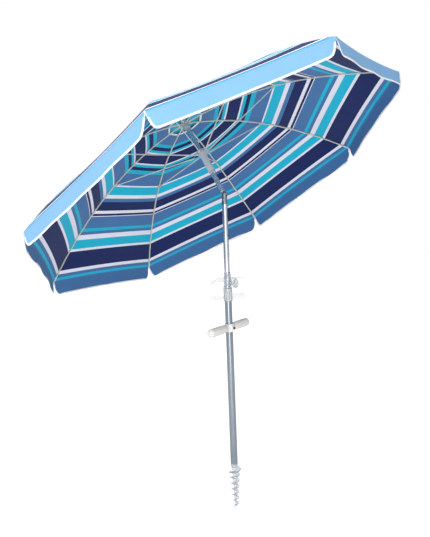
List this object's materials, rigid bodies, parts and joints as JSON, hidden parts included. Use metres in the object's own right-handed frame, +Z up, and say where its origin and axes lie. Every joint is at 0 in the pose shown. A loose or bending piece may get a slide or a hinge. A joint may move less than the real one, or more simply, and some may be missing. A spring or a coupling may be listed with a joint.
{
  "type": "beach umbrella",
  "caption": "Tilting beach umbrella with a folding striped canopy, telescoping pole, turning handle, hook hanger and sand auger.",
  "frame": {"origin": "on the lower pole's axis at its bottom edge, where the pole meets the sand; the auger is below the origin", "axes": "+Z up along the lower pole; the open canopy leans towards -X; the tilt axis and the handle run along Y"},
  "size_m": [1.4274, 1.6572, 1.9091],
  "materials": {
    "silver_tube": "satin",
    "dark_steel": "dark, satin",
    "bright_steel": "plain",
    "painted_rib": "grey-beige enamel",
    "white_plastic": "moulded",
    "frosted_plastic": "translucent, frosted",
    "grey_plastic": "moulded",
    "handle_plastic": "moulded",
    "handle_grip": "soft",
    "black_screw": "blackened",
    "canopy_cloth": "striped navy, turquoise, blue and white woven cloth",
    "vent_turquoise": "turquoise woven cloth"
  },
  "bodies": {
    "base": {"lower_tube": "silver_tube", "sand_auger": "frosted_plastic", "handle_sleeve": "handle_plastic", "handle_grip_front": "handle_grip", "handle_grip_back": "handle_grip", "handle_screw": "black_screw", "coupling_collar": "frosted_plastic"},
    "anchor_button": {"anchor_button": "bright_steel"},
    "clamp_knob": {"clamp_knob": "white_plastic", "clamp_stud": "bright_steel"},
    "hook_hanger": {"hook_hanger": "white_plastic"},
    "pole_plug": {"guide_plug": "white_plastic"},
    "middle_pole": {"middle_tube": "silver_tube", "tilt_fork": "dark_steel", "tilt_pin": "bright_steel"},
    "tilt_button": {"tilt_button": "bright_steel"},
    "upper_pole": {"tilt_tongue": "dark_steel", "upper_tube": "silver_tube", "crown_hub": "grey_plastic", "crown_wire": "bright_steel", "crown_cap": "white_plastic", "vent_cap": "vent_turquoise"},
    "runner_catch": {"runner_catch": "bright_steel"},
    "runner": {"runner": "white_plastic"},
    "rib_1": {"rib_1": "painted_rib", "bracket_1": "painted_rib", "canopy_1": "canopy_cloth"},
    "stretcher_1": {"stretcher_1": "painted_rib"},
    "rib_2": {"rib_2": "painted_rib", "bracket_2": "painted_rib", "canopy_2": "canopy_cloth"},
    "stretcher_2": {"stretcher_2": "painted_rib"},
    "rib_3": {"rib_3": "painted_rib", "bracket_3": "painted_rib", "canopy_3": "canopy_cloth"},
    "stretcher_3": {"stretcher_3": "painted_rib"},
    "rib_4": {"rib_4": "painted_rib", "bracket_4": "painted_rib", "canopy_4": "canopy_cloth"},
    "stretcher_4": {"stretcher_4": "painted_rib"},
    "rib_5": {"rib_5": "painted_rib", "bracket_5": "painted_rib", "canopy_5": "canopy_cloth"},
    "stretcher_5": {"stretcher_5": "painted_rib"},
    "rib_6": {"rib_6": "painted_rib", "bracket_6": "painted_rib", "canopy_6": "canopy_cloth"},
    "stretcher_6": {"stretcher_6": "painted_rib"},
    "rib_7": {"rib_7": "painted_rib", "bracket_7": "painted_rib", "canopy_7": "canopy_cloth"},
    "stretcher_7": {"stretcher_7": "painted_rib"},
    "rib_8": {"rib_8": "painted_rib", "bracket_8": "painted_rib", "canopy_8": "canopy_cloth"},
    "stretcher_8": {"stretcher_8": "painted_rib"}
  },
  "joints": [
    {"name": "height_slide", "type": "slide", "parent": "base", "child": "pole_plug", "axis": [0, 0, 1], "range_m": [-0.25, 0.25]},
    {"name": "pole_swivel", "type": "hinge", "parent": "pole_plug", "child": "middle_pole", "pos_m": [0, 0, 0.405], "axis": [0, 0, 1], "continuous": true},
    {"name": "tilt", "type": "hinge", "parent": "middle_pole", "child": "upper_pole", "pos_m": [0, 0, 1.207], "axis": [0, 1, 0], "range_deg": [0, 31.2]},
    {"name": "runner_slide", "type": "slide", "parent": "upper_pole", "child": "runner", "axis": [0.518, 0, -0.8554], "range_m": [0, 0.6126], "deforming": ["vent_cap"]},
    {"name": "clamp_knob_turn", "type": "hinge", "parent": "base", "child": "clamp_knob", "pos_m": [0.03, 0, 0.813], "axis": [1, 0, 0], "range_deg": [-540, 0]},
    {"name": "hook_hanger_turn", "type": "hinge", "parent": "base", "child": "hook_hanger", "pos_m": [0, 0, 0.75], "axis": [0, 0, 1], "range_deg": [0, 85]},
    {"name": "tilt_button_press", "type": "slide", "parent": "middle_pole", "child": "tilt_button", "axis": [0, 1, 0], "range_m": [0, 0.0025], "stiffness_N_per_m": 400},
    {"name": "runner_catch_press", "type": "slide", "parent": "upper_pole", "child": "runner_catch", "axis": [0, 1, 0], "range_m": [0, 0.0025], "stiffness_N_per_m": 400},
    {"name": "anchor_button_press", "type": "slide", "parent": "base", "child": "anchor_button", "axis": [0, 1, 0], "range_m": [0, 0.003], "stiffness_N_per_m": 600},
    {"name": "rib_1_fold", "type": "hinge", "parent": "upper_pole", "child": "rib_1", "pos_m": [-0.18297, 0.00689, 1.54123], "axis": [-0.3273, 0.9239, -0.1982], "range_deg": [0, 66.49], "deforming": ["canopy_1"]},
    {"name": "stretcher_1_fold", "type": "hinge", "parent": "rib_1", "child": "stretcher_1", "pos_m": [0.17329, 0.15989, 1.66602], "axis": [-0.3273, 0.9239, -0.1982], "range_deg": [-133.13, 0]},
    {"name": "rib_2_fold", "type": "hinge", "parent": "upper_pole", "child": "rib_2", "pos_m": [-0.19131, 0.01663, 1.53618], "axis": [-0.7903, 0.3827, -0.4786], "range_deg": [0, 66.49], "deforming": ["canopy_2"]},
    {"name": "stretcher_2_fold", "type": "hinge", "parent": "rib_2", "child": "stretcher_2", "pos_m": [-0.02013, 0.38601, 1.54889], "axis": [-0.7903, 0.3827, -0.4786], "range_deg": [-133.13, 0]},
    {"name": "rib_3_fold", "type": "hinge", "parent": "upper_pole", "child": "rib_3", "pos_m": [-0.20309, 0.01663, 1.52904], "axis": [-0.7903, -0.3827, -0.4786], "range_deg": [0, 66.49], "deforming": ["canopy_3"]},
    {"name": "stretcher_3_fold", "type": "hinge", "parent": "rib_3", "child": "stretcher_3", "pos_m": [-0.29366, 0.38601, 1.38323], "axis": [-0.7903, -0.3827, -0.4786], "range_deg": [-133.13, 0]},
    {"name": "rib_4_fold", "type": "hinge", "parent": "upper_pole", "child": "rib_4", "pos_m": [-0.21142, 0.00689, 1.524], "axis": [-0.3273, -0.9239, -0.1982], "range_deg": [0, 66.49], "deforming": ["canopy_4"]},
    {"name": "stretcher_4_fold", "type": "hinge", "parent": "rib_4", "child": "stretcher_4", "pos_m": [-0.48707, 0.15989, 1.26609], "axis": [-0.3273, -0.9239, -0.1982], "range_deg": [-133.13, 0]},
    {"name": "rib_5_fold", "type": "hinge", "parent": "upper_pole", "child": "rib_5", "pos_m": [-0.21142, -0.00689, 1.524], "axis": [0.3273, -0.9239, 0.1982], "range_deg": [0, 66.49], "deforming": ["canopy_5"]},
    {"name": "stretcher_5_fold", "type": "hinge", "parent": "rib_5", "child": "stretcher_5", "pos_m": [-0.48707, -0.15989, 1.26609], "axis": [0.3273, -0.9239, 0.1982], "range_deg": [-133.13, 0]},
    {"name": "rib_6_fold", "type": "hinge", "parent": "upper_pole", "child": "rib_6", "pos_m": [-0.20309, -0.01663, 1.52904], "axis": [0.7903, -0.3827, 0.4786], "range_deg": [0, 66.49], "deforming": ["canopy_6"]},
    {"name": "stretcher_6_fold", "type": "hinge", "parent": "rib_6", "child": "stretcher_6", "pos_m": [-0.29366, -0.38601, 1.38323], "axis": [0.7903, -0.3827, 0.4786], "range_deg": [-133.13, 0]},
    {"name": "rib_7_fold", "type": "hinge", "parent": "upper_pole", "child": "rib_7", "pos_m": [-0.19131, -0.01663, 1.53618], "axis": [0.7903, 0.3827, 0.4786], "range_deg": [0, 66.49], "deforming": ["canopy_7"]},
    {"name": "stretcher_7_fold", "type": "hinge", "parent": "rib_7", "child": "stretcher_7", "pos_m": [-0.02013, -0.38601, 1.54889], "axis": [0.7903, 0.3827, 0.4786], "range_deg": [-133.13, 0]},
    {"name": "rib_8_fold", "type": "hinge", "parent": "upper_pole", "child": "rib_8", "pos_m": [-0.18297, -0.00689, 1.54123], "axis": [0.3273, 0.9239, 0.1982], "range_deg": [0, 66.49], "deforming": ["canopy_8"]},
    {"name": "stretcher_8_fold", "type": "hinge", "parent": "rib_8", "child": "stretcher_8", "pos_m": [0.17329, -0.15989, 1.66602], "axis": [0.3273, 0.9239, 0.1982], "range_deg": [-133.13, 0]}
  ],
  "couplings": [
    {"joint": "rib_1_fold", "follows": "runner_slide", "rad_per_m": 1.8858},
    {"joint": "stretcher_1_fold", "follows": "runner_slide", "rad_per_m": -3.7844},
    {"joint": "rib_2_fold", "follows": "runner_slide", "rad_per_m": 1.8858},
    {"joint": "stretcher_2_fold", "follows": "runner_slide", "rad_per_m": -3.7844},
    {"joint": "rib_3_fold", "follows": "runner_slide", "rad_per_m": 1.8858},
    {"joint": "stretcher_3_fold", "follows": "runner_slide", "rad_per_m": -3.7844},
    {"joint": "rib_4_fold", "follows": "runner_slide", "rad_per_m": 1.8858},
    {"joint": "stretcher_4_fold", "follows": "runner_slide", "rad_per_m": -3.7844},
    {"joint": "rib_5_fold", "follows": "runner_slide", "rad_per_m": 1.8858},
    {"joint": "stretcher_5_fold", "follows": "runner_slide", "rad_per_m": -3.7844},
    {"joint": "rib_6_fold", "follows": "runner_slide", "rad_per_m": 1.8858},
    {"joint": "stretcher_6_fold", "follows": "runner_slide", "rad_per_m": -3.7844},
    {"joint": "rib_7_fold", "follows": "runner_slide", "rad_per_m": 1.8858},
    {"joint": "stretcher_7_fold", "follows": "runner_slide", "rad_per_m": -3.7844},
    {"joint": "rib_8_fold", "follows": "runner_slide", "rad_per_m": 1.8858},
    {"joint": "stretcher_8_fold", "follows": "runner_slide", "rad_per_m": -3.7844}
  ]
}
